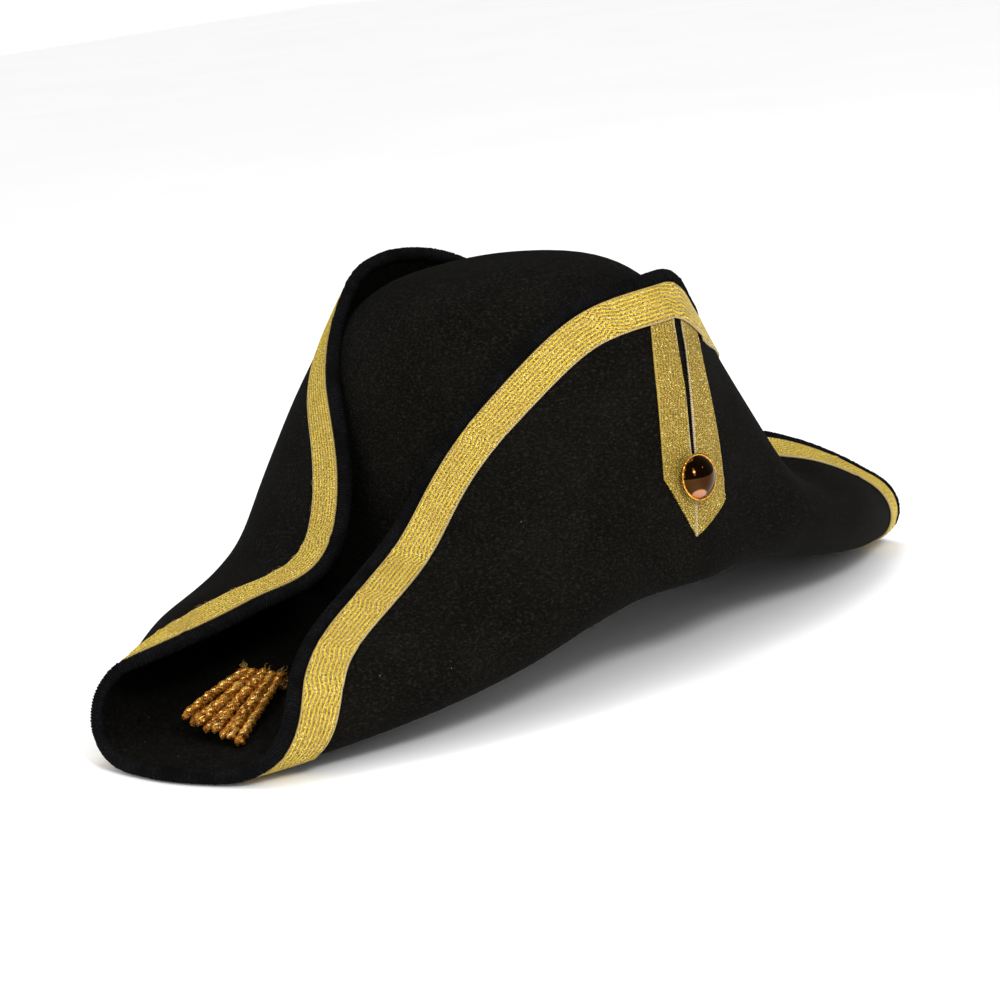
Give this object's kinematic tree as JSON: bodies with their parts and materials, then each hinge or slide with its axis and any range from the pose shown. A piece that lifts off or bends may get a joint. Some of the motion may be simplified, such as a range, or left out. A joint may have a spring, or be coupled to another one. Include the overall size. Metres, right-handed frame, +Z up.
{
  "type": "two-cornered dress hat",
  "caption": "Felt hat with a domed crown, brim folded up into front and back flaps ending in two open horns, braided rim, loop, button and bullion tassels.",
  "frame": {"origin": "centre of the head opening, at the head line", "axes": "+Z up, +X and -X along the two horns, -Y towards the front flap with the cockade loop"},
  "size_m": [0.4638, 0.2353, 0.1841],
  "materials": {
    "felt": "blocked wool felt",
    "binding": "overcast black yarn",
    "wire": "satin",
    "gold_braid": "woven metallic braid",
    "button_metal": "polished",
    "thread": "sewing thread",
    "leather": "smooth",
    "bullion": "twisted metallic cord"
  },
  "bodies": {
    "hat": {"felt_body": "felt", "edge_wire": "wire", "edge_binding": "binding", "rim_braid": "gold_braid", "cockade_loop": "gold_braid", "button_thread": "thread", "sweatband": "leather", "right_tassel_thread": "thread", "left_tassel_thread": "thread"},
    "button": {"button_cap": "button_metal", "button_back": "button_metal", "button_shank": "button_metal"},
    "right_tassel": {"right_tassel_head": "bullion", "right_upper_cord_1": "bullion", "right_upper_cord_2": "bullion", "right_upper_cord_3": "bullion", "right_upper_cord_4": "bullion", "right_upper_cord_5": "bullion", "right_upper_cord_6": "bullion", "right_upper_cord_7": "bullion", "right_upper_cord_8": "bullion", "right_lower_cord_1": "bullion", "right_lower_cord_2": "bullion", "right_lower_cord_3": "bullion"},
    "left_tassel": {"left_tassel_head": "bullion", "left_upper_cord_1": "bullion", "left_upper_cord_2": "bullion", "left_upper_cord_3": "bullion", "left_upper_cord_4": "bullion", "left_upper_cord_5": "bullion", "left_upper_cord_6": "bullion", "left_upper_cord_7": "bullion", "left_upper_cord_8": "bullion", "left_lower_cord_1": "bullion", "left_lower_cord_2": "bullion", "left_lower_cord_3": "bullion"}
  },
  "joints": [
    {"name": "right_tassel_lift", "type": "hinge", "parent": "hat", "child": "right_tassel", "pos_m": [-0.15025, 0.01851, -0.01301], "axis": [-0.3292, 0.9344, 0.136], "range_deg": [0, 45]},
    {"name": "left_tassel_lift", "type": "hinge", "parent": "hat", "child": "left_tassel", "pos_m": [0.15025, 0.01851, -0.01301], "axis": [-0.3292, -0.9344, -0.136], "range_deg": [0, 45]},
    {"name": "button_twist", "type": "hinge", "parent": "hat", "child": "button", "pos_m": [-0.00858, -0.11238, 0.04982], "axis": [-0.1104, -0.991, 0.0751], "range_deg": [-25, 25]}
  ]
}
